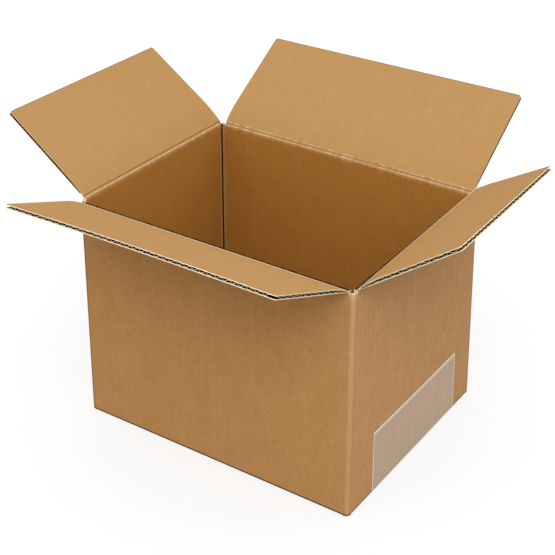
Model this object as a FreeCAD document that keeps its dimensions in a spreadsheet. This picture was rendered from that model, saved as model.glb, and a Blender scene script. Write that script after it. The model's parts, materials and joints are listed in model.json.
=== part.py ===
import FreeCAD, Part
import Sketcher
import os

# An open shipping box folded from one sheet of single-wall corrugated board.
# Millimetres, +Z up. The origin is the middle of the underside, X runs along the long sides,
# the long front panel faces -Y and the short right-hand end faces +X.

# Driving sizes. Each one is a cell of the sheet and can be changed by itself.
SIZES = {
    # the sheet: outer liner, corrugated medium and inner liner
    "board": 4.0,
    "liner": 0.45,
    "flute_pitch": 7.9,
    "medium_web": 0.7,
    "flute_mouth": 12.0,
    # the folded box
    "inside_length": 305.0,
    "inside_width": 229.0,
    "crease_height": 241.0,
    "corner_radius": 4.0,
    "fold_radius": 2.5,
    # gaps that the folds and cuts leave
    "crease_gap": 0.3,
    "slot_half": 5.0,
    "seam_gap": 1.0,
    # the glued tab inside the front left corner
    "tab_width": 35.0,
    "tab_drop": 10.0,
    # how far each top flap leans out from upright, in degrees
    "front_lean": 68.0,
    "right_lean": 56.0,
    "back_lean": 58.0,
    "left_lean": 54.7,
    # how far each flap's free corners were trimmed in, along the free edge
    "front_trim_start": 6.5,
    "front_trim_end": 3.0,
    "right_trim_start": 1.5,
    "right_trim_end": 20.0,
    "back_trim_start": 0.5,
    "back_trim_end": 1.0,
    "left_trim_start": 0.5,
    "left_trim_end": 4.5,
    # how much shorter the two end flaps are at their far corners
    "right_short_end": 17.0,
    "left_short_start": 3.5,
    "flute_margin": 3.0,
    # the clear film that seals the bottom seam and turns up both ends
    "tape_width": 159.0,
    "tape_rise": 69.0,
    "tape_thickness": 0.15,
    "tape_offset": 3.5,
}

# Sizes that follow from the driving ones, written as formulas of the sheet's own cells.
FORMULAS = {
    "outer_length": "=inside_length + 2 * board",
    "outer_width": "=inside_width + 2 * board",
    "flap_depth": "=outer_width / 2 - seam_gap / 2",
    "wall_top": "=crease_height - crease_gap / 2",
    "long_flap_width": "=outer_length - 2 * slot_half",
    "short_flap_width": "=outer_width - 2 * slot_half",
}

# The four top flaps: name, heading about Z, the cell of its width, and what lies across.
FLAPS = (
    ("front", 0, "long_flap_width", "outer_width"),
    ("right", 90, "short_flap_width", "outer_length"),
    ("back", 180, "long_flap_width", "outer_width"),
    ("left", 270, "short_flap_width", "outer_length"),
)

# Two heights or places closer than this are the same.
SAME = 1e-6

doc = FreeCAD.newDocument("open_carton")


def make_sheet():
    """Writes the driving sizes as plain numbers and the others as formulas, each with an alias."""
    sheet = doc.addObject("Spreadsheet::Sheet", "sizes")
    for row, (name, value) in enumerate([*SIZES.items(), *FORMULAS.items()], start=1):
        sheet.set("A%d" % row, name)
        sheet.set("B%d" % row, str(value))
        sheet.setAlias("B%d" % row, name)
    doc.recompute()
    return sheet


sizes = make_sheet()


def cells(text):
    """Turns the sheet's aliases in a formula into full references."""
    words = text.replace("(", " ( ").replace(")", " ) ").split()
    known = set(SIZES) | set(FORMULAS)
    return " ".join("sizes." + word if word in known else word for word in words)


def number(text):
    """The present value of a formula of the sheet's cells."""
    return float(sizes.evalExpression(cells(text)))


def origin_plane(body, role):
    """One of the body's own origin planes."""
    return next(item for item in body.Origin.OriginFeatures if item.Role == role)


def sketch_on(body, name, role, lift="0"):
    """An empty sketch on an origin plane of the body, raised along the plane's normal."""
    sketch = body.newObject("Sketcher::SketchObject", name)
    sketch.AttachmentSupport = (origin_plane(body, role), [""])
    sketch.MapMode = "FlatFace"
    sketch.setExpression(".AttachmentOffset.Base.z", cells(lift))
    return sketch


def hold(sketch, kind, edge, formula):
    """Ties the start of an edge to the sketch's origin by a distance along one axis."""
    index = sketch.addConstraint(
        Sketcher.Constraint(kind, -1, 1, edge, 1, number(formula))
    )
    sketch.setExpression("Constraints[%d]" % index, cells(formula))


def outline(sketch, corners):
    """Adds one closed outline, each corner given as a pair of formulas that are above zero."""
    points = [FreeCAD.Vector(number(x), number(y), 0) for x, y in corners]
    first = sketch.GeometryCount
    last = first + len(points) - 1
    for here, there in zip(points, points[1:] + points[:1]):
        sketch.addGeometry(Part.LineSegment(here, there))
    for edge in range(first, last + 1):
        follower = edge + 1 if edge < last else first
        sketch.addConstraint(Sketcher.Constraint("Coincident", edge, 2, follower, 1))
    for edge, (x, y) in enumerate(corners, start=first):
        if x == "0":
            sketch.addConstraint(Sketcher.Constraint("PointOnObject", edge, 1, -2))
        else:
            hold(sketch, "DistanceX", edge, x)
        if y == "0":
            sketch.addConstraint(Sketcher.Constraint("PointOnObject", edge, 1, -1))
        else:
            hold(sketch, "DistanceY", edge, y)


def rectangle(sketch, low, high):
    """A rectangle between two corners, each a pair of formulas."""
    outline(sketch, [low, (high[0], low[1]), high, (low[0], high[1])])


def pad(body, sketch, name, length):
    """Raises a sketch along its normal."""
    feature = body.newObject("PartDesign::Pad", name)
    feature.Profile = sketch
    feature.setExpression("Length", cells(length))
    doc.recompute()
    return feature


def pocket(body, sketch, name, length=None, reverse=False, both_ways=False):
    """Cuts a sketch away, to a length or right through, and makes sure that it removed something."""
    before = body.Shape.Volume
    feature = body.newObject("PartDesign::Pocket", name)
    feature.Profile = sketch
    feature.Reversed = reverse
    feature.Midplane = both_ways
    if length is None:
        feature.Type = "ThroughAll"
    else:
        feature.setExpression("Length", cells(length))
    doc.recompute()
    if not body.Shape.Volume < before:
        raise ValueError(name + " removed nothing")
    return feature


def edges_where(shape, test):
    """Names of the straight edges whose two ends both pass a test."""
    return [
        "Edge%d" % index
        for index, edge in enumerate(shape.Edges, start=1)
        if len(edge.Vertexes) == 2 and test(edge.Vertexes[0].Point, edge.Vertexes[1].Point)
    ]


def round_edges(body, base, name, names, radius):
    """Rounds the named edges of a feature to one radius of the sheet."""
    feature = body.newObject("PartDesign::Fillet", name)
    feature.Base = (base, names)
    feature.setExpression("Radius", cells(radius))
    doc.recompute()
    return feature


def upright(a, b):
    return abs(a.x - b.x) + abs(a.y - b.y) < SAME


def make_blank_walls(body):
    """The block that the four panels wrap, with its vertical and bottom folds rounded."""
    plan = sketch_on(body, "plan", "XY_Plane")
    rectangle(plan, ("0", "0"), ("outer_length", "outer_width"))
    block = pad(body, plan, "block", "wall_top")
    corners = round_edges(
        body, block, "vertical_folds", edges_where(block.Shape, upright), "corner_radius"
    )
    ground = [
        "Edge%d" % index
        for index, edge in enumerate(corners.Shape.Edges, start=1)
        if edge.BoundBox.ZMax < SAME
    ]
    round_edges(body, corners, "bottom_folds", ground, "fold_radius")


def hollow_out(body):
    """The inside, down to the short bottom flaps, and between those down to the long ones."""
    inside = sketch_on(body, "inside_plan", "XY_Plane", "2 * board")
    rectangle(inside, ("board", "board"), ("outer_length - board", "outer_width - board"))
    pocket(body, inside, "inside", reverse=True)
    between = sketch_on(body, "between_plan", "XY_Plane", "board")
    rectangle(between, ("flap_depth", "board"), ("outer_length - flap_depth", "outer_width - board"))
    pocket(body, between, "between_short_flaps", "board", reverse=True)


def cut_bottom_seams(body):
    """The line where the two long bottom flaps meet, and the cut ends of those flaps."""
    middle = sketch_on(body, "seam_plan", "XY_Plane")
    rectangle(
        middle,
        ("slot_half", "outer_width / 2 - seam_gap / 2"),
        ("outer_length - slot_half", "outer_width / 2 + seam_gap / 2"),
    )
    pocket(body, middle, "bottom_seam", "board", reverse=True)
    ends = sketch_on(body, "ends_plan", "XY_Plane")
    rectangle(ends, ("slot_half - seam_gap", "slot_half"), ("slot_half", "outer_width - slot_half"))
    rectangle(
        ends,
        ("outer_length - slot_half", "slot_half"),
        ("outer_length - slot_half + seam_gap", "outer_width - slot_half"),
    )
    pocket(body, ends, "bottom_flap_ends", "board", reverse=True)


def mitre(body, name, role, across, through):
    """Slopes the tops of two opposite panels inwards, so that the flaps can fold shut on them."""
    profile = sketch_on(body, name + "_profile", role, through)
    top, low = "wall_top", "wall_top - board"
    outline(profile, [("0", top), ("board", low), ("board", top)])
    outline(profile, [(across, top), (across + " - board", top), (across + " - board", low)])
    pocket(body, profile, name, both_ways=True)


def add_glue_tab(body):
    """The tab of the left panel, glued inside the front panel to close the tube."""
    plan = sketch_on(body, "tab_plan", "XY_Plane", "board")
    rectangle(plan, ("board / 2", "board / 2"), ("board + tab_width", "2 * board"))
    pad(body, plan, "glue_tab", "crease_height - tab_drop - board")


def make_panels():
    """Four panels, four bottom flaps and the glue tab, folded from one sheet."""
    body = doc.addObject("PartDesign::Body", "folded_sheet")
    make_blank_walls(body)
    hollow_out(body)
    cut_bottom_seams(body)
    mitre(body, "long_mitres", "YZ_Plane", "outer_width", "outer_length / 2")
    mitre(body, "end_mitres", "XZ_Plane", "outer_length", "0 - outer_width / 2")
    add_glue_tab(body)
    body.setExpression("Placement.Base.x", cells("0 - outer_length / 2"))
    body.setExpression("Placement.Base.y", cells("0 - outer_width / 2"))
    doc.recompute()
    return body


def block(name, length, width, height, corner):
    """A plain block with its lowest corner at a given place."""
    item = doc.addObject("Part::Box", name)
    for prop, formula in (("Length", length), ("Width", width), ("Height", height)):
        item.setExpression(prop, cells(formula))
    for axis, formula in zip("xyz", corner):
        item.setExpression("Placement.Base." + axis, cells(formula))
    doc.recompute()
    return item


def rounded_ends(item, name, radius):
    """The block with the two bottom edges that run along Y rounded."""
    rounded = doc.addObject("Part::Fillet", name)
    rounded.Base = item
    low = item.Shape.BoundBox.ZMin + SAME
    chosen = [
        index
        for index, edge in enumerate(item.Shape.Edges, start=1)
        if edge.BoundBox.ZMax < low and edge.BoundBox.YLength > edge.BoundBox.XLength
    ]
    rounded.Edges = [(index, number(radius), number(radius)) for index in chosen]
    doc.recompute()
    return rounded


def make_tape():
    """A thin film along the underside that turns up both ends: one bent sheet, two folds."""
    side = "tape_offset - tape_width / 2"
    outer = block(
        "tape_outside",
        "outer_length + 2 * tape_thickness",
        "tape_width",
        "tape_rise",
        ("0 - outer_length / 2 - tape_thickness", side, "0"),
    )
    inner = block(
        "tape_inside",
        "outer_length",
        "tape_width + 2 * board",
        "tape_rise",
        ("0 - outer_length / 2", side + " - board", "tape_thickness"),
    )
    film = doc.addObject("Part::Cut", "film")
    film.Base = rounded_ends(outer, "tape_outside_folds", "fold_radius + tape_thickness")
    film.Tool = rounded_ends(inner, "tape_inside_folds", "fold_radius")
    film.Label = "clear_tape"
    doc.recompute()
    return film


def make_box_body(panels, film):
    """The folded sheet, pressed in by the thickness of the film where it lies on the underside."""
    pressed = doc.addObject("Part::Cut", "pressed_sheet")
    pressed.Base = panels
    pressed.Tool = film
    pressed.Label = "box_body"
    doc.recompute()
    return pressed


def add_flute_mouths(body, name, width):
    """Rows of open flutes in the free edge: tunnels that stand on one liner, then on the other."""
    short = [size for size in SIZES if size.startswith(name + "_short")]
    floor = " - ".join(["flap_depth - flute_mouth", *short])
    profile = sketch_on(body, name + "_flute_profile", "XZ_Plane", "0 - (%s)" % floor)
    start = "%s_trim_start + flute_margin" % name
    base = "flute_pitch - 2 * medium_web"
    outline(
        profile,
        [
            (start, "liner"),
            ("%s + %s" % (start, base), "liner"),
            ("%s + (%s) / 2" % (start, base), "board - liner"),
        ],
    )
    shifted = "%s + flute_pitch / 2" % start
    outline(
        profile,
        [
            (shifted, "board - liner"),
            ("%s + (%s) / 2" % (shifted, base), "liner"),
            ("%s + %s" % (shifted, base), "board - liner"),
        ],
    )
    mouth = pocket(body, profile, name + "_flute_mouth")
    room = "(%s - %s_trim_start - %s_trim_end - 2 * flute_margin)" % (width, name, name)
    count = int((number(room) - number("flute_pitch") / 2) // number("flute_pitch"))
    row = body.newObject("PartDesign::LinearPattern", name + "_flute_mouths")
    row.Originals = [mouth]
    row.Direction = (profile, ["H_Axis"])
    row.Occurrences = count
    row.setExpression("Length", cells("flute_pitch * %d" % (count - 1)))
    body.Tip = row
    doc.recompute()


def free_corner(name, which):
    """How far a free corner is from the crease, where it may be cut shorter than the rest."""
    short = "%s_short_%s" % (name, which)
    return "flap_depth - " + short if short in SIZES else "flap_depth"


def make_flap(name, heading, width, across):
    """One top flap, leaning out from the crease line at the top of its panel.

    Its own frame has X along the crease, Y towards the free edge and Z out of the box.
    """
    body = doc.addObject("PartDesign::Body", name + "_board")
    body.Label = name + "_flap"
    plan = sketch_on(body, name + "_plan", "XY_Plane")
    start, end = name + "_trim_start", name + "_trim_end"
    outline(
        plan,
        [
            ("0", "crease_gap / 2"),
            (width, "crease_gap / 2"),
            (width + " - " + end, free_corner(name, "end")),
            (start, free_corner(name, "start")),
        ],
    )
    pad(body, plan, name + "_sheet", "board")
    bevel = sketch_on(body, name + "_bevel_profile", "YZ_Plane")
    outline(
        bevel,
        [
            ("crease_gap / 2", "0"),
            ("crease_gap / 2 + board", "0"),
            ("crease_gap / 2", "board"),
        ],
    )
    pocket(body, bevel, name + "_bevel", reverse=True)
    add_flute_mouths(body, name, width)
    turn = FreeCAD.Rotation(FreeCAD.Vector(0, 0, 1), heading)
    lean = FreeCAD.Rotation(FreeCAD.Vector(1, 0, 0), 90 + number(name + "_lean"))
    hinge = turn.multVec(FreeCAD.Vector(0, -number(across) / 2, number("crease_height")))
    seat = FreeCAD.Placement(hinge, turn.multiply(lean))
    shift = FreeCAD.Vector(-number(width) / 2, 0, -number("board"))
    body.Placement = seat.multiply(FreeCAD.Placement(shift, FreeCAD.Rotation()))
    doc.recompute()
    return body


def check_and_write(parts):
    """Every object has to be sound before any file is written."""
    for item in doc.Objects:
        if "Invalid" in item.State or "Error" in item.State:
            raise ValueError("%s could not be built: %s" % (item.Name, item.State))
    for item in parts:
        if item.Shape.isNull() or not item.Shape.isValid():
            raise ValueError(item.Label + " has no sound shape")
    os.makedirs("parts", exist_ok=True)
    for item in parts:
        item.Shape.exportStep("parts/%s.step" % item.Label)
        print(item.Label, len(item.Shape.Solids), "solid", round(item.Shape.Volume), "mm3")


clear_tape = make_tape()
box_body = make_box_body(make_panels(), clear_tape)
flaps = [make_flap(*row) for row in FLAPS]
check_and_write([box_body, clear_tape, *flaps])
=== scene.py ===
# %% [markdown]
# # An open shipping box
# The object is a regular slotted box: one sheet of corrugated board, creased into four panels,
# four bottom flaps and four top flaps. The top flaps stand open. A broad strip of clear film
# closes the bottom and turns up both ends. The CAD model gives the sizes and the creases that
# the flaps turn on. This script dresses it: real flutes at the cut edges, pressed creases,
# paper that has streaks and fibres, a pale studio and the photograph's camera.

# %% load the frame
import bmesh
import bpy
import json
import math
import random
from mathutils import Matrix, Vector


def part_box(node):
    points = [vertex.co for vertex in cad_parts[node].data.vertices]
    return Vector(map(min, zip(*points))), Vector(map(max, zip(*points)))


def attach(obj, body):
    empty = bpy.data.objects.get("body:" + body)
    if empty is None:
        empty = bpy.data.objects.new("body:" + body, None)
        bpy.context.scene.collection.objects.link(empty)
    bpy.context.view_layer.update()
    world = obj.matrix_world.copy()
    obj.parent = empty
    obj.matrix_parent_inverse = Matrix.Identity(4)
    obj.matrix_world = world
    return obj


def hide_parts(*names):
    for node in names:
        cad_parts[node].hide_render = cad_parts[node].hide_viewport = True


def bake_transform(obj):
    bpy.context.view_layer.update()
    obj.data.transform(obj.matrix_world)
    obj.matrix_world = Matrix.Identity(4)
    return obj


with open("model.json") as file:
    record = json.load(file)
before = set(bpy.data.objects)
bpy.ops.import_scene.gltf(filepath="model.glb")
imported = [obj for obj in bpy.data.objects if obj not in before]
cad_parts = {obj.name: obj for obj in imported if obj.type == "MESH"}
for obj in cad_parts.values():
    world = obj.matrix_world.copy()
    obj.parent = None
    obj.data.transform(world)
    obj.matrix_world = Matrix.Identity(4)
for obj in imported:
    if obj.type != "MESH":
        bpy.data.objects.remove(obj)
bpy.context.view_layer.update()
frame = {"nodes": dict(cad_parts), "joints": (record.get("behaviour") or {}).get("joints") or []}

MM = 0.001

# %% [markdown]
# ## Sizes
# The panels' outer faces and the height of the creases come from the CAD body's box, and each
# flap's lean comes from its joint. The thicknesses are those of a single-wall C-flute board,
# which is about 4 mm thick and has a flute every 7.9 mm. The liners are drawn thicker than the
# real 0.3 mm, because at this image size a thinner edge would vanish between two pixels.

# %% board and folds, in mm
BOARD = 4.0
LINER = 0.85
MEDIUM = 0.3
FLUTE_PITCH = 7.9
SLOT_HALF = 5.0
CREASE_DOWN = 6.0
CREASE_UP = 4.0
HALF_CREASE_GAP = 0.15
body_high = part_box("box_body")[1] / MM
HALF_LENGTH = body_high.x
HALF_WIDTH = body_high.y
CREASE_Z = body_high.z + HALF_CREASE_GAP
print("outer half sizes and crease:", *[round(v, 2) for v in (HALF_LENGTH, HALF_WIDTH, CREASE_Z)])

# %% the four sides, read from the joints
def side_from_joint(joint):
    """What a side needs: its crease point, its heading, its lean and the half width of its panel."""
    axis = Vector(joint["axis"])
    heading = math.atan2(axis.y, axis.x)
    lean = -joint["range_deg"][0] - 90
    is_long = abs(axis.x) > 0.5
    half, reach = (HALF_LENGTH, HALF_WIDTH) if is_long else (HALF_WIDTH, HALF_LENGTH)
    crease = Matrix.Rotation(heading, 3, "Z") @ Vector((0, -reach, CREASE_Z))
    return {
        "body": joint["child"],
        "crease": crease,
        "heading": heading,
        "lean": math.radians(lean),
        "half": half,
        "reach": reach,
    }


sides = {j["child"].replace("_flap", ""): side_from_joint(j) for j in frame["joints"]}
for name, side in sides.items():
    print(name, "leans", round(math.degrees(side["lean"]), 1), "degrees")

# %% [markdown]
# ## Colours and shader nodes
# Colours are written as sRGB hex values, as they would be picked from a colour chart, and one
# function turns them to the linear values that shaders use. Another small function adds a node
# with its settings and its links, so that each material below reads as a list of steps.

# %% colour and node helpers
def linear(hex_code):
    """An sRGB hex value as linear red, green, blue and an alpha of 1."""
    parts = [int(hex_code[i : i + 2], 16) / 255 for i in (1, 3, 5)]
    curve = [c / 12.92 if c <= 0.04045 else ((c + 0.055) / 1.055) ** 2.4 for c in parts]
    return (*curve, 1.0)


def add_node(tree, kind, settings=None, links=None):
    """Adds a node. A setting goes to the input of that name or number, or else to the node."""
    node = tree.nodes.new(kind)
    for key, value in (settings or {}).items():
        if isinstance(key, int) or key in node.inputs:
            node.inputs[key].default_value = value
        else:
            setattr(node, key, value)
    for key, source in (links or {}).items():
        tree.links.new(source, node.inputs[key])
    return node


def new_material(name):
    """An empty node material and its output node."""
    material = bpy.data.materials.new(name)
    material.use_nodes = True
    tree = material.node_tree
    tree.nodes.clear()
    print("material:", name)
    return material, tree, tree.nodes.new("ShaderNodeOutputMaterial")


# %% [markdown]
# ## Kraft linerboard
# The faces of the board are kraft linerboard: unbleached softwood paper, matte, with an IOR near
# 1.5 and a roughness near 0.9. It is not one flat brown. The paper machine lays clouds a few
# centimetres wide, the flutes behind it print faint streaks along their length, and dark fibres
# and pale specks a few millimetres long lie on top. Real ones are thinner, and are drawn wider
# here so that they show. Every pattern is placed by the sheet's own flat coordinates, kept in a
# UV map in metres, so it runs with the flutes on every panel and flap. A number on each point
# makes the paper paler where it is above zero. That is partly creased, worn paper and partly a
# painted highlight on the crease crests and the near upright fold. Below zero it is painted shade.
# It is brown along the flaps' cut borders and at the far upright folds. At minus two it is near
# black, in the near creases and along the line where the box meets the floor, where hardly any
# light reaches.

# %% pattern helpers
def stretched_noise(tree, across_mm, along_mm, detail=2.0, offset=0.0):
    """Noise whose grains are so many millimetres wide across the flutes and long along them."""
    where = add_node(tree, "ShaderNodeUVMap", {"uv_map": "sheet"}).outputs["UV"]
    scale = (1 / (across_mm * MM), 1 / (along_mm * MM), 1.0)
    place = add_node(
        tree,
        "ShaderNodeMapping",
        {"Scale": scale, "Location": (offset, offset * 0.7, offset)},
        {"Vector": where},
    )
    settings = {"Scale": 1.0, "Detail": detail, "Roughness": 0.6}
    noise = add_node(tree, "ShaderNodeTexNoise", settings, {"Vector": place.outputs["Vector"]})
    return noise.outputs["Fac"]


def lay_over(tree, colour, pattern, span, strength, other):
    """Tints a colour towards another as a pattern goes through a span, up to a strength."""
    settings = {"From Min": span[0], "From Max": span[1], "To Max": strength}
    amount = add_node(tree, "ShaderNodeMapRange", settings, {"Value": pattern})
    links = {"Color1": colour, "Fac": amount.outputs["Result"]}
    return add_node(tree, "ShaderNodeMixRGB", {"Color2": other}, links).outputs["Color"]


# %% kraft linerboard
# Painted light on the paper: the pale tint is partly worn paper and partly a painted highlight. The
# brown and near-black tints are painted shade.
WORN_PAPER_AND_HIGHLIGHT = linear("#F3D9B2")
PAINTED_SHADE_BROWN = linear("#7A5430")
PAINTED_DEEP_SHADE = linear("#2E180A")
FIBRE_STRENGTH = 0.26
SPECK_STRENGTH = 0.3


def kraft_liner(name, base, dark, light, streak, cloud):
    """Linerboard with clouds, flute streaks, fibres and specks. It is pale at creases from wear and
    painted highlight, and dark with painted shade.
    """
    material, tree, output = new_material(name)
    clouds = stretched_noise(tree, 24, 30, 2)
    mottle = stretched_noise(tree, 3.2, 4.5, 2, 5.3)
    streaks = stretched_noise(tree, 1.9, 26, 2, 3.1)
    broad = stretched_noise(tree, 6.5, 160, 2, 7.7)
    fibres = stretched_noise(tree, 2.0, 9.0, 1, 11.3)
    specks = stretched_noise(tree, 2.0, 5.0, 1, 17.9)
    wear = add_node(tree, "ShaderNodeAttribute", {"attribute_name": "wear"}).outputs["Fac"]
    cloudy = add_node(
        tree,
        "ShaderNodeMapRange",
        {"From Min": 0.35, "From Max": 0.7, "To Max": cloud},
        {"Value": clouds},
    )
    start = add_node(
        tree,
        "ShaderNodeMixRGB",
        {"Color1": base, "Color2": dark},
        {"Fac": cloudy.outputs["Result"]},
    )
    colour = lay_over(tree, start.outputs["Color"], mottle, (0.4, 0.7), cloud, dark)
    colour = lay_over(tree, colour, streaks, (0.48, 0.68), streak, dark)
    colour = lay_over(tree, colour, broad, (0.5, 0.75), streak, light)
    colour = lay_over(tree, colour, fibres, (0.62, 0.72), FIBRE_STRENGTH, dark)
    colour = lay_over(tree, colour, specks, (0.62, 0.74), SPECK_STRENGTH, light)
    cracks = add_node(
        tree,
        "ShaderNodeMapRange",
        {"From Min": 0.3, "From Max": 0.6, "To Min": 0.55},
        {"Value": fibres},
    )
    painted_light_and_wear = add_node(
        tree,
        "ShaderNodeMath",
        {"operation": "MULTIPLY", "use_clamp": True},
        {0: wear, 1: cracks.outputs["Result"]},
    )
    # Above zero the paper turns paler with wear and painted highlight. Below zero it turns darker with
    # painted shade.
    colour = lay_over(tree, colour, painted_light_and_wear.outputs[0], (0.0, 1.0), 1.0, WORN_PAPER_AND_HIGHLIGHT)
    colour = lay_over(tree, colour, wear, (0.0, -1.0), 1.0, PAINTED_SHADE_BROWN)
    colour = lay_over(tree, colour, wear, (-1.0, -2.0), 1.0, PAINTED_DEEP_SHADE)
    height = add_node(tree, "ShaderNodeMath", {"operation": "ADD"}, {0: specks, 1: mottle})
    bump = add_node(
        tree,
        "ShaderNodeBump",
        {"Strength": 0.35, "Distance": 0.12 * MM},
        {"Height": height.outputs[0]},
    )
    paper = add_node(
        tree,
        "ShaderNodeBsdfPrincipled",
        {"Roughness": 0.9, "IOR": 1.5, "Specular IOR Level": 0.12},
        {"Base Color": colour, "Normal": bump.outputs["Normal"]},
    )
    tree.links.new(paper.outputs[0], output.inputs["Surface"])
    return material


# %% outer faces and flaps
KRAFT_DARK = linear("#A3753F")
KRAFT_LIGHT = linear("#DDB88A")
FLAP_LIGHT = linear("#CAA374")
outer_face = kraft_liner(
    "kraft linerboard outer face", linear("#CE985C"), KRAFT_DARK, KRAFT_LIGHT, 0.1, 0.14
)
# The end panels are the same paper as the front and back. Their paler copy of it is painted light. It
# stands in for stronger light on the ends, which the lamp does not give.
end_face_painted_lighter = kraft_liner(
    "kraft linerboard outer face of an end", linear("#D7A46F"), KRAFT_DARK, KRAFT_LIGHT, 0.17, 0.1
)
flap_face = kraft_liner(
    "kraft linerboard inner face of a flap", linear("#B38A57"), KRAFT_DARK, FLAP_LIGHT, 0.06, 0.08
)

# %% [markdown]
# The inside walls are the same paper, but they light each other more than the studio lights
# them, and paper that is lit by paper turns deeper and warmer. Under an even light the renderer
# gives only part of that, so their base colour is a little deeper than the flaps'.

# %% inside walls
WALL_LIGHT = linear("#BC8B4E")
inside_face = kraft_liner(
    "kraft linerboard inside wall", linear("#B57F39"), linear("#865A24"), WALL_LIGHT, 0.08, 0.12
)

# %% [markdown]
# ## Cut edges and the corrugating medium
# Where the knife went through, the paper shows its torn fibres, which scatter more light than
# the pressed faces, so a cut edge is paler. Its near white colour is partly that and partly a
# painted highlight, for edges that catch the light. The corrugating medium between the liners
# is a rougher, greyer paper made from short recycled fibres, and little light reaches it. Its near
# black colour is painted shade for the flute cells. The liners' faces towards the flutes and the
# walls of the gaps at the upright folds take the same painted shade.

# %% cut edges and medium
TORN_FIBRE = 1.2 * MM


def plain_paper(name, base, dark, sheen):
    """A rough paper with a fine fibre pattern and nothing else."""
    material, tree, output = new_material(name)
    where = add_node(tree, "ShaderNodeTexCoord").outputs["Object"]
    noise = add_node(tree, "ShaderNodeTexNoise", {"Scale": 1 / TORN_FIBRE}, {"Vector": where})
    fibres = add_node(
        tree,
        "ShaderNodeMapRange",
        {"From Min": 0.45, "From Max": 0.7},
        {"Value": noise.outputs["Fac"]},
    )
    colour = add_node(
        tree,
        "ShaderNodeMixRGB",
        {"Color1": base, "Color2": dark},
        {"Fac": fibres.outputs["Result"]},
    )
    paper = add_node(
        tree,
        "ShaderNodeBsdfPrincipled",
        {"Roughness": 0.95, "IOR": 1.5, "Specular IOR Level": sheen},
        {"Base Color": colour.outputs["Color"]},
    )
    tree.links.new(paper.outputs[0], output.inputs["Surface"])
    return material


# Cut edges: partly paler torn fibres, partly a painted highlight.
cut_edge_and_highlight = plain_paper("cut edge of linerboard", linear("#FFEAC6"), linear("#EBCB98"), 0.2)
# The medium's near black is painted shade, for the flute cells that little light reaches.
medium_in_painted_shade = plain_paper("corrugating medium", linear("#30140A"), linear("#1E0C06"), 0.04)
BOARD_MATERIALS = (outer_face, flap_face, inside_face, cut_edge_and_highlight, medium_in_painted_shade, end_face_painted_lighter)
OUTER, INNER, WALL, CUT_AND_HIGHLIGHT, FLUTE_SHADE, END_PAINTED_LIGHTER = range(6)

# %% [markdown]
# ## Clear film
# The film is biaxially drawn polypropylene with an acrylic glue: clear, IOR about 1.5, smooth
# enough to catch the studio's white as a soft haze. It is mixed from a part that lets the board
# show through and a part that scatters, because the glue layer traps air and turns it milky.

# %% clear film
BORDER_HAZE = 0.45
RIPPLE = 9 * MM


def clear_film():
    """Polypropylene packing film over paper: partly see-through, pale and glossy."""
    material, tree, output = new_material("clear polypropylene film")
    where = add_node(tree, "ShaderNodeTexCoord").outputs["Object"]
    ripple = add_node(tree, "ShaderNodeTexNoise", {"Scale": 1 / RIPPLE}, {"Vector": where})
    bump = add_node(
        tree,
        "ShaderNodeBump",
        {"Strength": 0.25, "Distance": 0.1 * MM},
        {"Height": ripple.outputs["Fac"]},
    )
    wear = add_node(tree, "ShaderNodeAttribute", {"attribute_name": "wear"}).outputs["Fac"]
    trapped = stretched_noise(tree, 2.2, 26, 2, 5.0)
    middle = add_node(
        tree,
        "ShaderNodeMapRange",
        {"From Min": 0.35, "From Max": 0.65, "To Min": 0.54, "To Max": 0.59},
        {"Value": trapped},
    )
    haze = add_node(
        tree,
        "ShaderNodeMath",
        {"operation": "ADD", "use_clamp": True},
        {0: middle.outputs["Result"], 1: wear},
    )
    border = add_node(tree, "ShaderNodeMapRange", {"From Max": BORDER_HAZE}, {"Value": wear})
    pale = add_node(
        tree,
        "ShaderNodeMixRGB",
        {"Color1": linear("#EACAA4"), "Color2": linear("#FFF6E4")},
        {"Fac": border.outputs["Result"]},
    )
    film = add_node(
        tree,
        "ShaderNodeBsdfPrincipled",
        {"Roughness": 0.25, "IOR": 1.5},
        {
            "Base Color": pale.outputs["Color"],
            "Normal": bump.outputs["Normal"],
            "Alpha": haze.outputs[0],
        },
    )
    tree.links.new(film.outputs[0], output.inputs["Surface"])
    return material


film_material = clear_film()

# %% [markdown]
# ## Building closed solids
# A panel, a crease and a bottom flap are each one profile drawn along a straight line. The
# profile lists points in two directions, outwards and up, with each point's place on the flat
# sheet and its mark of wear and painted light. All the solids of one piece go into one heap,
# which becomes one mesh.

# %% heap, faces and points
def new_heap():
    """Lists that grow while solids are added."""
    return {"points": [], "faces": [], "uvs": [], "slots": [], "wear": []}


def add_point(heap, point, wear=0.0):
    """One point, given in the frame in mm."""
    heap["points"].append(point * MM)
    heap["wear"].append(wear)
    return len(heap["points"]) - 1


def add_face(heap, corners, uvs, slot):
    """One face with its flat coordinates in mm and its material."""
    heap["faces"].append(corners)
    heap["uvs"].append([(u * MM, v * MM) for u, v in uvs])
    heap["slots"].append(slot)


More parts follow.
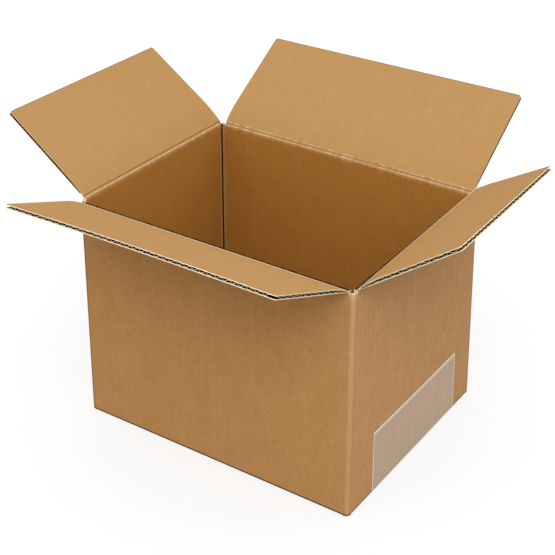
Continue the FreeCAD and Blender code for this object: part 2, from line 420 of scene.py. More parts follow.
# %% a profile drawn along a line
def add_prism(heap, profile, slots, stations, place, shift=None, cap=CUT_AND_HIGHLIGHT, end_slot=None):
    """Draws a closed profile of (out, up, flat, wear and painted light) along the stations, capped at
    both ends.

    Shift moves each point, and end_slot is the material of the inner faces at the first and last
    stations.
    """
    rows = []
    for x in stations:
        row = []
        for out, up, flat, wear in profile:
            moved = shift(x, out, up, flat, wear) if shift else (x, out, up, wear)
            row.append(add_point(heap, place @ Vector(moved[:3]), moved[3]))
        rows.append(row)
    count = len(profile)
    last = len(stations) - 2
    for k in range(last + 1):
        for i in range(count):
            j = (i + 1) % count
            flats = (profile[i][2], profile[j][2])
            ends = (stations[k], stations[k + 1])
            uvs = [(ends[0], flats[0]), (ends[1], flats[0]), (ends[1], flats[1]), (ends[0], flats[1])]
            at_end = end_slot is not None and k in (0, last) and slots[i] in (INNER, WALL)
            slot = end_slot if at_end else slots[i]
            add_face(heap, (rows[k][i], rows[k + 1][i], rows[k + 1][j], rows[k][j]), uvs, slot)
    for row in (rows[0], rows[-1]):
        add_face(heap, tuple(row), [(out, up) for out, up, flat, wear in profile], cap)


# %% from a heap to a piece
SHARP_ANGLE = math.radians(35)


def face_outwards(mesh):
    """Makes every closed solid in a mesh face outwards."""
    work = bmesh.new()
    work.from_mesh(mesh)
    bmesh.ops.recalc_face_normals(work, faces=work.faces)
    work.to_mesh(mesh)
    work.free()
    mesh.update()


def make_piece(name, heap, materials):
    """Turns a heap into a mesh object with its normals outwards and its sharp edges marked."""
    mesh = bpy.data.meshes.new(name)
    mesh.from_pydata(heap["points"], [], heap["faces"])
    for material in materials:
        mesh.materials.append(material)
    layer = mesh.uv_layers.new(name="sheet")
    for face, number, uvs in zip(mesh.polygons, heap["slots"], heap["uvs"]):
        face.material_index = number
        face.use_smooth = True
        for loop, uv in zip(face.loop_indices, uvs):
            layer.data[loop].uv = uv
    wear = mesh.attributes.new("wear", "FLOAT", "POINT")
    wear.data.foreach_set("value", heap["wear"])
    piece = bpy.data.objects.new(name, mesh)
    bpy.context.scene.collection.objects.link(piece)
    face_outwards(mesh)
    mesh.set_sharp_from_angle(angle=SHARP_ANGLE)
    print(name, len(mesh.polygons), "faces")
    return piece


# %% places on the box
def spread(low, high, step):
    """Evenly spaced stations from low to high, about a step apart."""
    parts = max(1, round((high - low) / step))
    return [low + (high - low) * k / parts for k in range(parts + 1)]


def panel_place(side):
    """From (along the panel, outwards from its outer face, up from the floor) to the frame."""
    turn = Matrix.Rotation(side["heading"], 4, "Z")
    flip = Matrix(((1, 0, 0, 0), (0, -1, 0, -side["reach"]), (0, 0, 1, 0), (0, 0, 0, 1)))
    return turn @ flip


def flap_place(side):
    """From (along the crease, towards the free edge, out of the board) to the frame."""
    turn = Matrix.Rotation(side["heading"], 4, "Z")
    lean = Matrix.Rotation(math.pi / 2 + side["lean"], 4, "X")
    return Matrix.Translation(side["crease"]) @ turn @ lean


# %% [markdown]
# ## A box that has been handled
# No real box is exactly square. This one stands a few millimetres wider at its base than at its
# mouth, its creases run a little up or down, and its flaps are twisted by a degree or so. The
# board was crushed beside the creases, and it comes back to its full thickness over 22 mm. Short
# tables say by how many millimetres each corner has moved, from the start to the end of each
# side, and one function moves every point of a piece by its share.

# %% how far the corners have moved
BASE_MOVES = {(-1, -1): (-1.6, -3.0), (1, -1): (1.2, -5.6), (1, 1): (-0.6, 6.4), (-1, 1): (-2.2, -0.5)}
FLAP_MOVES = {
    "front": ((0.0, 0.0, 0.0), (0.0, 0.0, 0.0)),
    "right": ((0.0, 0.0, -1.9), (-0.8, 0.0, 2.0)),
    "back": ((0.0, 0.0, 0.0), (0.0, 1.5, -0.9)),
    "left": ((-1.5, 0.0, 0.0), (-0.9, -0.6, -0.2)),
}
FLAP_DEPTH = 118.0
CREASE_RISE = {"front": (0.0, -1.2), "right": (-0.5, 0.8), "back": (-3.0, 0.0), "left": (1.5, 4.5)}
CRUSHED = {"front": (0.27, 0.25), "right": (0.27, 0.8), "back": (0.3, 0.3), "left": (0.3, 0.3)}
CRUSH_REACH = 22.0
FRONT_BOW = 1.4


def base_move(point):
    """How far the base's spreading moves a point of the box."""
    u, v = point.x / HALF_LENGTH, point.y / HALF_WIDTH
    share = min(1.0, max(0.0, 1 - point.z / CREASE_Z))
    move = Vector((0, 0, 0))
    for (a, b), (dx, dy) in BASE_MOVES.items():
        weight = (1 + a * u) / 2 * (1 + b * v) / 2
        move += Vector((dx, dy, 0)) * weight
    return move * share


def between(pair, share):
    """A value that runs evenly from a side's start to its end."""
    return pair[0] + (pair[1] - pair[0]) * share


def crease_rise(name, x):
    """How far a side's crease has risen, at a place along it."""
    half = sides[name]["half"] - SLOT_HALF
    return between(CREASE_RISE[name], 0.5 + max(-1.0, min(1.0, x / half)) / 2)


def flap_move(name, flat):
    """Where a point of a flap has gone, in the flap's own coordinates."""
    share = 0.5 + flat.x / (2 * (sides[name]["half"] - SLOT_HALF))
    start, end = (Vector(v) for v in FLAP_MOVES[name])
    far = min(1.0, flat.y / FLAP_DEPTH)
    thinned = between(CRUSHED[name], share)
    thickness = thinned + (1 - thinned) * min(1.0, flat.y / CRUSH_REACH)
    crushed = Vector((flat.x, flat.y, flat.z * thickness))
    bow = FRONT_BOW * math.sin(math.pi * min(1, max(0, share))) if name == "front" else 0.0
    return crushed + start.lerp(end, share) * far - Vector((0, 0, bow * far**2))


def settle(piece, name=None):
    """Moves a piece's points as handling has moved the real box's."""
    place = flap_place(sides[name]) if name else None
    back = place.inverted() if name else None
    for vertex in piece.data.vertices:
        point = vertex.co / MM
        if name:
            flat = back @ point
            if flat.y > 0:
                point = place @ flap_move(name, flat)
            point.z += crease_rise(name, flat.x) * (1 - max(0.0, min(1.0, flat.y / FLAP_DEPTH)))
        point += base_move(point)
        vertex.co = point * MM


# %% [markdown]
# ## The folded body
# Each panel is a slab of board that ends at the crease zone. Its bottom edge is rounded where
# the board was folded under. At the upright folds the outside is a round of about one board
# thickness. On the inside the liners part and leave a narrow gap with pale lips, and its walls
# are drawn in the medium's near black, as painted shade. The lowest two millimetres are painted
# dark, as the shade where the fold meets the floor.
# Panels of a real box are never quite flat, so they swell outwards by up to a millimetre.

# %% panels
PANEL_SWELL = 0.8
PANEL_STEP = 12.0
FOLD_ROUND = 1.6
LIP = 0.9
LIP_PALE = 0.3
GAP_DEPTH = 3.2
# Painted shade at the floor line: darkest up to the first height, gone above the second.
DARKEST_SHADE_TO = 2.0
SHADE_ENDS_AT = 2.6
INNER_LINER_ENDS = {("back", 1): 2.8, ("left", -1): 4.8}


def floor_line_shade(up):
    """Painted shade on the lowest edge, dark from the floor up to a thin line."""
    return -2.0 * min(1.0, max(0.0, (SHADE_ENDS_AT - up) / (SHADE_ENDS_AT - DARKEST_SHADE_TO)))


def swelling(x, up, end):
    """How far a panel's outer face stands out from flat."""
    top = CREASE_Z - CREASE_DOWN
    rise = math.sin(math.pi * min(1, max(0, up / top)))
    return PANEL_SWELL * math.cos(math.pi / 2 * min(1, abs(x) / end)) ** 2 * rise**2


def add_panel(heap, name):
    """One upright panel between the corner posts."""
    side = sides[name]
    top = CREASE_Z - CREASE_DOWN
    end = side["half"] - SLOT_HALF
    heights = [FOLD_ROUND, DARKEST_SHADE_TO, *spread(SHADE_ENDS_AT, top, PANEL_STEP)]
    round_steps = [math.radians(a) for a in (90, 67.5, 45, 22.5)]
    profile = [
        (-FOLD_ROUND + FOLD_ROUND * math.cos(a), FOLD_ROUND - FOLD_ROUND * math.sin(a))
        for a in round_steps
    ]
    profile += [(0.0, z) for z in heights]
    outer_edges = len(profile) - 1
    profile += [(-BOARD, z) for z in reversed(heights)]
    profile += [(-BOARD, 0.0)]
    profile = [(o, z, z - CREASE_Z, 0.0) for o, z in profile]
    outer = END_PAINTED_LIGHTER if side["half"] == HALF_WIDTH else OUTER
    slots = [outer] * outer_edges + [CUT_AND_HIGHLIGHT] + [WALL] * len(heights) + [outer]

    def shaped(x, out, up, flat, wear):
        """Swells the panel, opens the gaps at its inner ends and lets its top rise or fall."""
        inside = out < -BOARD / 2
        depth = GAP_DEPTH if inside and abs(x) > end - LIP / 2 else 0.0
        lip = LIP_PALE if inside and end - LIP * 2 < abs(x) < end - LIP / 2 else 0.0
        way = 1 if x > 0 else -1
        at_end = inside and abs(x) > end - LIP * 2.5
        moved = INNER_LINER_ENDS.get((name, way), 0.0) if at_end else 0.0
        risen = up + crease_rise(name, x) * up / top
        return (x + moved, out + swelling(x, up, end) + depth, risen, lip + floor_line_shade(up))

    stations = spread(-end + LIP * 3, end - LIP * 3, PANEL_STEP)
    stations = [-end, -end + LIP, *stations, end - LIP, end]
    add_prism(heap, profile, slots, stations, panel_place(side), shaped, end_slot=FLUTE_SHADE)


# %% corner posts
# The band along each upright fold's outer round is painted light. It is pale as a highlight on the
# near fold and dark as shade on the other three.
UPRIGHT_PAINTED_LIGHT = {"front": 1.0, "right": -3.0, "back": -1.0, "left": -3.0}
POST_DROP = 1.7
TORN_TOP = (-1.1, 0.6)


def add_corner(heap, name, following, chance):
    """The post after a side's end: rounded outside with a painted band, deeply gapped inside, torn on
    top.
    """
    side = sides[name]
    rises = (crease_rise(name, side["half"]), crease_rise(following, -HALF_LENGTH))
    bend = [math.radians(a) for a in (0, 15, 30, 45, 60, 75, 90)]
    centre = Vector((side["half"] - BOARD, -(side["reach"] - BOARD)))
    outside = [centre + BOARD * Vector((math.sin(a), -math.cos(a))) for a in bend]
    start = Vector((side["half"] - SLOT_HALF, -side["reach"]))
    finish = Vector((side["half"], -(side["reach"] - SLOT_HALF)))
    skin = BOARD - GAP_DEPTH
    inner_finish = finish + Vector((-skin, 0))
    gap_bottom = centre + (BOARD - skin) * Vector((math.sqrt(0.5), -math.sqrt(0.5)))
    inner_start = start + Vector((0, skin))
    plan = [start, *outside, finish, inner_finish, gap_bottom, inner_start]
    painted_bands = [0.0, *[0.06 + 0.16 * math.sin(2 * a) for a in bend], 0.0, 0.0, 0.0, 0.0]
    painted_bands = [painted_light_and_wear * UPRIGHT_PAINTED_LIGHT[name] for painted_light_and_wear in painted_bands]
    top = CREASE_Z - POST_DROP
    turn = Matrix.Rotation(side["heading"], 4, "Z")
    middle = spread(PANEL_STEP, top - 8, PANEL_STEP)
    levels = [0.0, 0.6, FOLD_ROUND, DARKEST_SHADE_TO, SHADE_ENDS_AT, *middle, top - 3, top]
    pulled_in = {0.0: FOLD_ROUND, 0.6: 0.4}
    top_wear = {top - 3: 0.25, top: 0.5}
    rows = []
    for z in levels:
        pull = pulled_in.get(z, 0.0)
        row = []
        for i, (spot, painted_light_and_wear) in enumerate(zip(plan, painted_bands)):
            moved = spot + ((centre - spot).normalized() * pull if painted_light_and_wear else Vector((0, 0)))
            turned = min(1.0, i / (len(bend) + 1)) if i < len(bend) + 2 else 0.5
            height = z + between(rises, turned) * z / top
            if z == top:
                height += chance.uniform(*TORN_TOP)
            painted_light_and_wear = painted_light_and_wear + top_wear.get(z, 0.0) + floor_line_shade(z)
            row.append(add_point(heap, turn @ Vector((moved.x, moved.y, height)), painted_light_and_wear))
        rows.append(row)
    count = len(plan)
    slots = [OUTER] * (len(bend) + 1) + [CUT_AND_HIGHLIGHT, FLUTE_SHADE, FLUTE_SHADE, CUT_AND_HIGHLIGHT]
    for k in range(len(levels) - 1):
        for i in range(count):
            j = (i + 1) % count
            v = (levels[k] - CREASE_Z, levels[k + 1] - CREASE_Z)
            u = [side["half"] + SLOT_HALF * (m / len(bend) - 1) * 2 for m in (i, j)]
            uvs = [(u[0], v[0]), (u[1], v[0]), (u[1], v[1]), (u[0], v[1])]
            add_face(heap, (rows[k][i], rows[k][j], rows[k + 1][j], rows[k + 1][i]), uvs, slots[i])
    for row, slot in ((rows[0], OUTER), (rows[-1], CUT_AND_HIGHLIGHT)):
        add_face(heap, tuple(row), [(p.x, p.y) for p in plan], slot)


# %% bottom flaps, tab and the whole body
def add_slab(heap, low, high, slots=(OUTER, CUT_AND_HIGHLIGHT, WALL, CUT_AND_HIGHLIGHT)):
    """A flat piece of board lying level, from one corner to the other, in the box's frame."""
    profile = [(low.y, low.z), (high.y, low.z), (high.y, high.z), (low.y, high.z)]
    profile = [(y, z, y, 0.0) for y, z in profile]
    add_prism(heap, profile, slots, [low.x, high.x], Matrix.Identity(4))


TAB_WIDTH = 35.0
TAB_DROP = 10.0
SEAM_HALF = 0.5


def make_body():
    """Panels, corners, bottom flaps and the glued tab, all in one piece."""
    heap = new_heap()
    chance = random.Random("torn slots")
    around = ("front", "right", "back", "left")
    for name, following in zip(around, around[1:] + around[:1]):
        add_panel(heap, name)
        add_corner(heap, name, following, chance)
    inner_x, inner_y = HALF_LENGTH - BOARD, HALF_WIDTH - BOARD
    long_end = HALF_LENGTH - SLOT_HALF
    for y in ((-inner_y, -SEAM_HALF), (SEAM_HALF, inner_y)):
        add_slab(heap, Vector((-long_end, y[0], 0)), Vector((long_end, y[1], BOARD)))
    flap_end = HALF_LENGTH - HALF_WIDTH + SEAM_HALF
    for x in ((-inner_x, -flap_end), (flap_end, inner_x)):
        low = Vector((x[0], -inner_y + 1, BOARD + 0.1))
        add_slab(heap, low, Vector((x[1], inner_y - 1, 2 * BOARD)))
    tab_low = Vector((-inner_x + 0.5, -inner_y, 2 * BOARD + 0.5))
    tab_high = Vector((-inner_x + TAB_WIDTH, -inner_y + BOARD, CREASE_Z - TAB_DROP))
    add_slab(heap, tab_low, tab_high, (WALL, WALL, CUT_AND_HIGHLIGHT, CUT_AND_HIGHLIGHT))
    return make_piece("folded_board_body", heap, BOARD_MATERIALS)


body_piece = make_body()
settle(body_piece)
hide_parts("box_body")
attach(body_piece, "box")

# %% [markdown]
# ## The top flaps
# A flap is three plies: an outer liner, a fluted medium and an inner liner. The flutes run from
# the crease to the free edge, so the free edge shows them end on, as a row of small dark arches.
# At the side edges the knife also broke the flutes here and there, and a short ribbon with its
# waves along the side gives those broken dark marks. On two sides it ran between two flutes and
# left one long open channel. The dark of arches, marks and channels is painted shade: the medium
# and the liners' faces towards it are drawn near black.

# %% shape of a flap
CORNER_ROUND = 2.4
FLAP_ROWS = 15
FIRST_COLUMN = 8.0
COLUMN_STEP = 11.0
# The lip beside each crease is painted light: pale as a highlight where it catches the light, and dark
# as shade on the left flap. The borders give how far the painted shade reaches in from the flaps' cut
# edges.
LIP_PAINTED_LIGHT = {"front": 0.65, "right": 0.65, "back": 0.4, "left": -0.3}
LIP_WIDTH = {"front": 9.0, "right": 3.0, "back": 1.0, "left": 1.0}
BORDERS = {"front": 2.2, "right": 2.2, "back": 1.1, "left": 1.1}


def flap_corners(name):
    """The flap's corners in its own flat coordinates, read from the CAD node, in mm."""
    back = flap_place(sides[name]).inverted()
    flat = [back @ (v.co / MM) for v in frame["nodes"][name + "_flap"].data.vertices]
    hinge = [p.x for p in flat if p.y < BOARD]
    start = max(flat, key=lambda p: p.y - p.x)
    end = max(flat, key=lambda p: p.y + p.x)
    print(name, "flap: crease", round(min(hinge), 1), round(max(hinge), 1), "corners", start, end)
    return {"low": min(hinge), "high": max(hinge), "start": start.xy, "end": end.xy}


def side_line(corners, which, y):
    """Where a side edge of the flap is, at a distance from the crease."""
    base = corners["low"] if which == "start" else corners["high"]
    tip = corners[which]
    return base + (tip.x - base) * y / tip.y


def free_line(corners, x):
    """How far the free edge is from the crease, at a place along it, with its corners rounded."""
    a, b = corners["start"], corners["end"]
    straight = a.y + (b.y - a.y) * (x - a.x) / (b.x - a.x)
    near = min(x - a.x, b.x - x)
    if near >= CORNER_ROUND:
        return straight
    lack = CORNER_ROUND - max(0.0, near)
    return straight - CORNER_ROUND + math.sqrt(max(0.0, CORNER_ROUND**2 - lack**2))


def flap_columns(corners, border):
    """Columns of flat points from the crease strip to the free edge, dense at the borders."""
    a, b = corners["start"], corners["end"]
    width = b.x - a.x
    near = [0.0, 0.4, border, CORNER_ROUND]
    middle = spread(FIRST_COLUMN, width - FIRST_COLUMN, COLUMN_STEP)
    along = near + middle + [width - d for d in reversed(near)]
    low = side_line(corners, "start", CREASE_UP)
    high = side_line(corners, "end", CREASE_UP)
    columns = []
    for distance in along:
        share = distance / width
        foot = Vector((low + (high - low) * share, CREASE_UP))
        tip_x = a.x + distance
        tip = Vector((tip_x, free_line(corners, tip_x)))
        length = tip.y - foot.y
        steps = [(length - border) * k / FLAP_ROWS for k in range(FLAP_ROWS + 1)] + [length]
        columns.append([foot.lerp(tip, s / length) for s in steps])
    return columns


# %% plies and flutes
def add_ply(heap, columns, low, high, low_slot, high_slot, place, lip=0.0):
    """A flat sheet of paper, with borders painted dark as shade and a strip beside the crease painted
    pale as a highlight.
    """
    wide, tall = len(columns), len(columns[0])
    layers = []
    for z in (low, high):
        grid = []
        for i, column in enumerate(columns):
            row = []
            for j, p in enumerate(column):
                border = j == tall - 1 or i in (0, wide - 1)
                painted_light_and_wear = -1.0 if border else lip if j == 0 else 0.0
                row.append(add_point(heap, place @ Vector((p.x, p.y, z)), painted_light_and_wear))
            grid.append(row)
        layers.append(grid)
    for grid, slot in zip(layers, (low_slot, high_slot)):
        for i in range(wide - 1):
            for j in range(tall - 1):
                spots = ((i, j), (i + 1, j), (i + 1, j + 1), (i, j + 1))
                flat = [(columns[a][b].x, columns[a][b].y) for a, b in spots]
                add_face(heap, tuple(grid[a][b] for a, b in spots), flat, slot)
    ring = [(i, 0) for i in range(wide)] + [(wide - 1, j) for j in range(1, tall)]
    ring += [(i, tall - 1) for i in range(wide - 2, -1, -1)] + [(0, j) for j in range(tall - 2, 0, -1)]
    for here, there in zip(ring, ring[1:] + ring[:1]):
        ids = [layers[n][a][b] for n, (a, b) in ((0, here), (0, there), (1, there), (1, here))]
        flat = [(columns[a][b].x, columns[a][b].y) for a, b in (here, there, there, here)]
        add_face(heap, tuple(ids), flat, CUT_AND_HIGHLIGHT)


def add_ribbon(heap, middle, ends, place):
    """A waved ribbon of medium. Middle lists (s, height); ends gives its points from the mouth in."""
    rows = []
    for lift in (-MEDIUM / 2, MEDIUM / 2):
        layer = [[], [], []]
        for s, height in middle:
            for k, (x, y) in enumerate(ends(s)):
                layer[k].append(add_point(heap, place @ Vector((x, y, height + lift))))
        rows.append(layer)
    none = [(0, 0)] * 4
    for i in range(len(middle) - 1):
        for lift in (0, 1):
            for k in (0, 1):
                a, b = rows[lift][k], rows[lift][k + 1]
                add_face(heap, (a[i], a[i + 1], b[i + 1], b[i]), none, FLUTE_SHADE)
        for k in (0, 2):
            a, b = rows[0][k], rows[1][k]
            add_face(heap, (a[i], a[i + 1], b[i + 1], b[i]), none, CUT_AND_HIGHLIGHT)
    for i in (0, len(middle) - 1):
        ring = [rows[0][k][i] for k in (0, 1, 2)] + [rows[1][k][i] for k in (2, 1, 0)]
        add_face(heap, tuple(ring), [(0, 0)] * 6, CUT_AND_HIGHLIGHT)


def wave(length, pitch, crush, chance):
    """The medium's middle line: a wave between the liners, a little uneven from flute to flute."""
    reach = (BOARD - 2 * LINER - MEDIUM) / 2
    steps = 10
    total = int(length / pitch * steps)
    line = []
    size = 1.0
    for k in range(total + 1):
        if k % steps == 0:
            size = 1 - crush * chance.random()
        height = -BOARD / 2 + reach * size * math.cos(2 * math.pi * k / steps)
        line.append((length * k / total, height))
    return line


# %% flutes of a flap
EDGE_RIBBON = 6.0
SIDE_PITCH = 9.6
EDGE_CRUSH = 0.12
SIDE_CRUSH = 0.35
MOUTH = 1.0
INSET = 0.3
OPEN_CHANNELS = (("left", "end"), ("back", "start"))


def add_flutes(heap, name, corners, place, chance):
    """The medium behind the free edge, and the broken flutes at the sides."""
    low = corners["start"].x + EDGE_RIBBON
    length = corners["end"].x - EDGE_RIBBON - low

    def main_ends(s):
        x = low + s
        edge = free_line(corners, x) - INSET
        return (x, edge), (x, edge - MOUTH), (x, CREASE_UP)

    add_ribbon(heap, wave(length, FLUTE_PITCH, EDGE_CRUSH, chance), main_ends, place)
    for which, inwards in (("start", 1), ("end", -1)):
        if (name, which) in OPEN_CHANNELS:
            continue
        run = corners[which].y - CREASE_UP - CORNER_ROUND

        def side_ends(s, which=which, inwards=inwards):
            y = CREASE_UP + s
            x = side_line(corners, which, y)
            return tuple((x + inwards * d, y) for d in (INSET, MOUTH, EDGE_RIBBON - 0.5))

        add_ribbon(heap, wave(run, SIDE_PITCH, SIDE_CRUSH, chance), side_ends, place)


# %% the four flaps
def make_flap(name):
    """One flap beyond its crease: two liners and the medium between them."""
    chance = random.Random("flutes of the %s flap" % name)
    corners = flap_corners(name)
    place = flap_place(sides[name])
    heap = new_heap()
    columns = flap_columns(corners, BORDERS[name])
    add_ply(heap, columns, -LINER, 0.0, FLUTE_SHADE, OUTER, place)
    lip = LIP_PAINTED_LIGHT[name] if LIP_WIDTH[name] > CREASE_UP else 0.0
    add_ply(heap, columns, -BOARD, -BOARD + LINER, INNER, FLUTE_SHADE, place, lip)
    add_flutes(heap, name, corners, place, chance)
    piece = make_piece(name + "_flap_board", heap, BOARD_MATERIALS)
    settle(piece, name)
    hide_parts(name + "_flap")
    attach(piece, sides[name]["body"])
    return corners


flap_shapes = {name: make_flap(name) for name in sides}

# %% [markdown]
# ## The creases
# The board was pressed along each crease by a wheel, so it is about a millimetre thick there.
# Seen from inside, the panel ends in a soft shoulder of stretched paper, then comes a narrow
# valley, and the flap rises out of it. On the two far creases the shoulder is painted pale, as a
# highlight where it catches the light, and the valley a little dark, as shade. The strip is drawn
# along the crease with small random dents. The two creases near the camera have shoulder and
# valley painted dark, as the shade where the eye looks into the fold, and the lip of their flaps
# is painted pale as a highlight. The two far ones look pale and dented.

# %% section across a crease
# Painted light of the crease strip. The far shoulders are painted pale as highlights and their valleys
# faintly dark as shade. The near shoulders and valleys are painted dark as shade.
SHOULDER_PAINTED_LIGHT = {"front": -1.8, "right": -1.8, "back": 0.2, "left": 0.3}
VALLEY_PAINTED_SHADE = {"front": -2.0, "right": -2.0, "back": -0.15, "left": -0.2}
SHOULDER_TOP = {"front": 0.9, "right": 0.7, "back": -0.6, "left": 0.0}
VALLEY_DEPTH = {"front": 1.0, "right": 1.0, "back": 0.4, "left": 0.3}


def crease_profile(name):
    """The section across a crease at rest: (outwards, up, flat distance, wear and painted light) in
    mm.
    """
    lean = sides[name]["lean"]
    top, painted_light_and_wear = SHOULDER_TOP[name], SHOULDER_PAINTED_LIGHT[name]
    deep, shade = VALLEY_DEPTH[name], VALLEY_PAINTED_SHADE[name]
    shoulder = [
        (-BOARD, -CREASE_DOWN, -CREASE_DOWN, 0.0),
        (-BOARD, top - 2.6, -4.6, max(0.0, painted_light_and_wear * 0.5)),
        (-BOARD + 0.1, top - 1.6, -3.6, painted_light_and_wear * 0.4),
        (-BOARD + 0.4, top - 0.7, -2.8, painted_light_and_wear),
        (-BOARD + 1.0, top - 0.1, -2.0, painted_light_and_wear),
        (-BOARD + 1.7, top, -1.4, painted_light_and_wear),
        (-BOARD + 2.3, top - deep * 0.4, -0.9, shade),
        (-1.2, top - deep, -0.6, shade),
        (-0.7, top - deep * 0.6, -0.3, shade),
    ]
    rising = [(0.5, BOARD), (1.3, BOARD), (2.4, BOARD), (CREASE_UP, BOARD)]
    falling = [(CREASE_UP, 0.0), (2.4, 0.0), (1.0, 0.0)]

    def on_flap(along, inwards):
        out = along * math.sin(lean) - inwards * math.cos(lean)
        up = along * math.cos(lean) + inwards * math.sin(lean)
        bright = LIP_PAINTED_LIGHT[name] if inwards and along < LIP_WIDTH[name] else 0.0
        return out, up, along, bright

    flap = [on_flap(a, b) for a, b in rising + falling]
    outside = [(0.0, 0.0, 0.0, 0.2), (0.0, -2.0, -2.0, 0.1), (0.0, -CREASE_DOWN, -CREASE_DOWN, 0.0)]
    slots = [WALL] * 2 + [INNER] * (len(shoulder) + len(rising) - 3) + [CUT_AND_HIGHLIGHT]
    slots += [OUTER] * (len(falling) + len(outside) - 1) + [CUT_AND_HIGHLIGHT]
    return shoulder + flap + outside, slots


# %% crease strips
DENT = {"front": 0.12, "right": 0.12, "back": 0.75, "left": 0.35}
DENT_STEP = 2.5
DENT_CENTRE = (-2.2, -2.0)
DENT_SIZE = (1.6, 1.4)
DENT_SHINE = 1.5
RAGGED = 0.7


def make_crease(name):
    """The pressed strip between a panel and its flap."""
    side = sides[name]
    chance = random.Random("dents of the %s crease" % name)
    corners = flap_shapes[name]
    low, high = corners["low"], corners["high"]
    stations = spread(low, high, DENT_STEP)
    dents = {x: DENT[name] * chance.uniform(-1, 1) for x in stations}
    profile, slots = crease_profile(name)

    def dented(x, out, up, flat, wear):
        """Dents the strip near its shoulder, and makes its two ends as ragged as the flap's."""
        aside = (out - DENT_CENTRE[0]) / DENT_SIZE[0]
        above = (up - DENT_CENTRE[1]) / DENT_SIZE[1]
        near = math.exp(-(aside**2 + above**2))
        along = max(0.0, flat)
        share = (x - low) / (high - low)
        first, last = (side_line(corners, end, along) for end in ("start", "end"))
        spot = first + (last - first) * share
        if x in (low, high) and -CREASE_DOWN < flat < CREASE_UP:
            spot += chance.uniform(-RAGGED, RAGGED) - math.copysign(RAGGED, x)
        if x in (low, high) and flat < -1 and out < -BOARD / 2:
            spot += INNER_LINER_ENDS.get((name, 1 if x > 0 else -1), 0.0)
        # Each dent makes the painted light there a little stronger or weaker.
        shine = 1 + dents[x] * DENT_SHINE
        return (spot, out + dents[x] * near, up + dents[x] * near, wear * shine)

    place = panel_place(side) @ Matrix.Translation((0, 0, CREASE_Z))
    heap = new_heap()
    add_prism(heap, profile, slots, stations, place, dented)
    piece = make_piece(name + "_crease_strip", heap, BOARD_MATERIALS)
    settle(piece, name)
    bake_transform(piece)


for name in sides:
    make_crease(name)

# %% [markdown]
# ## The film
# The film lies flat on the board, so it is a thin sheet that stands a hair proud of it, along
# the underside and up both ends. It follows the swelling of the end panels. Its cut borders
# scatter light, so they look paler than the middle.

# %% film
FILM_THICK = 0.1
FILM_PROUD = 0.04
FILM_BORDER = 0.8
BORDER_FADE = 0.1
FILM_STEP = 10.0


def film_path(rise):
    """The film's inner line, from the top of one end, along the underside, to the other."""
    half = HALF_LENGTH + FILM_PROUD
    climb = [rise, rise - FILM_BORDER, rise - FILM_BORDER - BORDER_FADE]
    climb += reversed(spread(FOLD_ROUND, rise - 4.0, FILM_STEP))
    path = [(-half, z) for z in climb]
    path += [
        (-half + FOLD_ROUND - FOLD_ROUND * math.cos(a), FOLD_ROUND - FOLD_ROUND * math.sin(a))
        for a in (math.radians(d) for d in (22.5, 45, 67.5, 90))
    ]
    return path + [(-x, z) for x, z in reversed(path)]


def make_film():
    """The clear film: one thin sheet bent round the bottom of the box."""
    low, high = (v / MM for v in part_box("clear_tape"))
    path = film_path(high.z)
    outside = []
    for k, (x, z) in enumerate(path):
        before, after = path[max(0, k - 1)], path[min(len(path) - 1, k + 1)]
        along = Vector((after[0] - before[0], after[1] - before[1])).normalized()
        outside.append((x + along.y * FILM_THICK, z - along.x * FILM_THICK))
    ring = path + list(reversed(outside))
    lift = max(0.0, -min(z for x, z in ring))
    profile = [(x, z + lift, x, 0.0) for x, z in ring]
    end = HALF_WIDTH - SLOT_HALF

    def laid(y, out, up, flat, wear):
        """Lays the ends of the film on the swelling panels, and makes its borders hazy."""
        on_end = abs(out) > HALF_LENGTH - 1
        swell = math.copysign(swelling(y, up, end), out) if on_end else 0.0
        inwards = min(y - low.y, high.y - y, high.z - up)
        at_border = inwards < FILM_BORDER + BORDER_FADE / 2
        return (y, out + swell, up, BORDER_HAZE if at_border else 0.0)

    heap = new_heap()
    place = Matrix(((0, 1, 0, 0), (1, 0, 0, 0), (0, 0, 1, 0), (0, 0, 0, 1)))
    inner_low, inner_high = low.y + FILM_BORDER, high.y - FILM_BORDER
    stations = spread(inner_low + BORDER_FADE, inner_high - BORDER_FADE, FILM_STEP)
    stations = [low.y, inner_low, *stations, inner_high, high.y]
    add_prism(heap, profile, [0] * len(profile), stations, place, laid, cap=0)
    piece = make_piece("clear_film_strip", heap, (film_material,))
    settle(piece)
    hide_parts("clear_tape")
    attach(piece, "box")


make_film()

# %% [markdown]
# ## Floor, light and camera
# The photograph is a studio shot on seamless white. The floor is a diffuse plane of a middle
# grey, so that it throws only a little light up at the box. Where the camera looks at it, some
# emission is added, so that it reads as white while the box's shadow stays. The light is a white
# world, which is brighter above than at its horizon as under a studio's overhead diffusers, and
# one soft lamp, high in front of the box.

# %% floor
FLOOR_HALF = 6.0
FLOOR_DROP = 0.0004
FLOOR_GLOW = 0.74


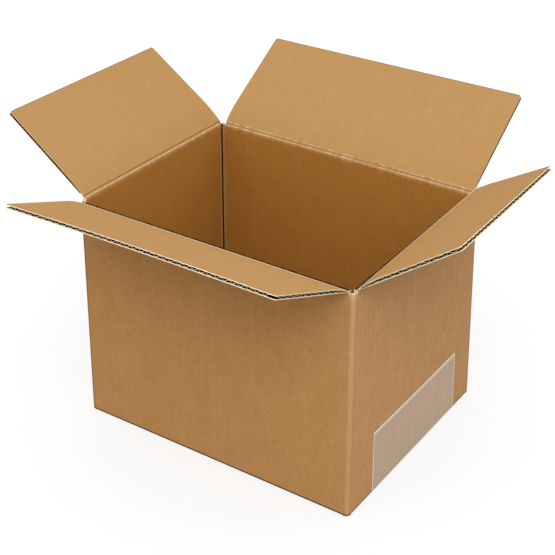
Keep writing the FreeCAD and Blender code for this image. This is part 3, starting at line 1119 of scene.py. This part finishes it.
def make_floor():
    """A pale floor that keeps the shadow and turns white to the camera."""
    mesh = bpy.data.meshes.new("studio_floor")
    s = FLOOR_HALF
    mesh.from_pydata([(-s, -s, 0), (s, -s, 0), (s, s, 0), (-s, s, 0)], [], [(0, 1, 2, 3)])
    floor = bpy.data.objects.new("studio_floor", mesh)
    floor.location.z = -FLOOR_DROP
    bpy.context.scene.collection.objects.link(floor)
    material, tree, output = new_material("matte studio floor")
    matte = add_node(tree, "ShaderNodeBsdfDiffuse", {"Color": linear("#888888")})
    glow = add_node(tree, "ShaderNodeEmission", {"Color": (1, 1, 1, 1)})
    path = add_node(tree, "ShaderNodeLightPath")
    seen = add_node(
        tree,
        "ShaderNodeMath",
        {"operation": "MAXIMUM"},
        {0: path.outputs["Is Camera Ray"], 1: path.outputs["Is Glossy Ray"]},
    )
    level = add_node(
        tree, "ShaderNodeMath", {"operation": "MULTIPLY", 1: FLOOR_GLOW}, {0: seen.outputs[0]}
    )
    tree.links.new(level.outputs[0], glow.inputs["Strength"])
    both = add_node(tree, "ShaderNodeAddShader", {}, {0: matte.outputs[0], 1: glow.outputs[0]})
    tree.links.new(both.outputs[0], output.inputs["Surface"])
    mesh.materials.append(material)
    print("floor:", 2 * FLOOR_HALF, "m wide")


make_floor()

# %% world and lamp
HORIZON_LEVEL = 0.55
ZENITH_LEVEL = 1.37


def make_world():
    """A white world, dimmer at its horizon, that the camera sees as pure white."""
    world = bpy.data.worlds.new("studio")
    bpy.context.scene.world = world
    world.use_nodes = True
    tree = world.node_tree
    tree.nodes.clear()
    output = tree.nodes.new("ShaderNodeOutputWorld")
    path = add_node(tree, "ShaderNodeLightPath")
    direction = add_node(tree, "ShaderNodeTexCoord").outputs["Generated"]
    height = add_node(tree, "ShaderNodeSeparateXYZ", {}, {"Vector": direction}).outputs["Z"]
    level = add_node(
        tree,
        "ShaderNodeMapRange",
        {"To Min": HORIZON_LEVEL, "To Max": ZENITH_LEVEL},
        {"Value": height},
    )
    links = {"Value": path.outputs["Is Camera Ray"], "To Min": level.outputs["Result"]}
    strength = add_node(tree, "ShaderNodeMapRange", {"To Max": 1.0}, links).outputs["Result"]
    sky = add_node(tree, "ShaderNodeBackground", {"Color": (1, 1, 1, 1)}, {"Strength": strength})
    tree.links.new(sky.outputs[0], output.inputs["Surface"])
    print("world:", HORIZON_LEVEL, "at the horizon to", ZENITH_LEVEL, "overhead")


def add_lamp(name, place, target, size, power):
    """A soft square lamp that points at a target."""
    data = bpy.data.lights.new(name, "AREA")
    data.size = size
    data.energy = power
    lamp = bpy.data.objects.new(name, data)
    lamp.location = place
    aim = Vector(target) - Vector(place)
    lamp.rotation_euler = aim.to_track_quat("-Z", "Y").to_euler()
    bpy.context.scene.collection.objects.link(lamp)
    print(name, "of", power, "W,", round(aim.length, 2), "m from its target")


make_world()
add_lamp(
    "high front softbox",
    place=(0.8, -1.1, 1.55),
    target=(0, 0, 0.12),
    size=0.8,
    power=11.0,
)

# %% [markdown]
# ## Camera
# The camera's place was worked out from the box's corners in the photograph, with the box's
# sizes known and its length, 0.313 m, as the unit. The photograph was cropped off centre, which
# the lens shift repeats.

# %% camera
IMAGE_SIZE = 555
FOCAL_PX = 1396.6
CENTRE_PX = (267.3, 195.0)
AZIMUTH = math.radians(34.65)
ELEVATION = math.radians(26.58)
ROLL = math.radians(-0.65)
FIT_UNIT = 0.313
DISTANCE = 4.550 * FIT_UNIT
ASIDE = -0.0407 * FIT_UNIT
ABOVE = 0.3497 * FIT_UNIT
SENSOR = 36.0


def make_camera():
    """The photograph's camera."""
    data = bpy.data.cameras.new("camera")
    data.sensor_width = SENSOR
    data.lens = FOCAL_PX / IMAGE_SIZE * SENSOR
    data.shift_x = (IMAGE_SIZE / 2 - CENTRE_PX[0]) / IMAGE_SIZE
    data.shift_y = (CENTRE_PX[1] - IMAGE_SIZE / 2) / IMAGE_SIZE
    flat = math.cos(ELEVATION)
    back = Vector((math.sin(AZIMUTH) * flat, -math.cos(AZIMUTH) * flat, math.sin(ELEVATION)))
    right = Vector((math.cos(AZIMUTH), math.sin(AZIMUTH), 0))
    up = back.cross(right)
    centre = Vector((0, 0, CREASE_Z * MM / 2))
    place = centre + right * ASIDE + up * ABOVE + back * DISTANCE
    across = right * math.cos(ROLL) + up * math.sin(ROLL)
    upright = up * math.cos(ROLL) - right * math.sin(ROLL)
    turn = Matrix((across, upright, back)).transposed().to_4x4()
    camera = bpy.data.objects.new("camera", data)
    camera.matrix_world = Matrix.Translation(place) @ turn
    bpy.context.scene.collection.objects.link(camera)
    bpy.context.scene.camera = camera
    print("camera: lens", round(data.lens, 1), "mm,", round(DISTANCE, 2), "m away")


make_camera()
bpy.context.scene.view_settings.view_transform = "Standard"
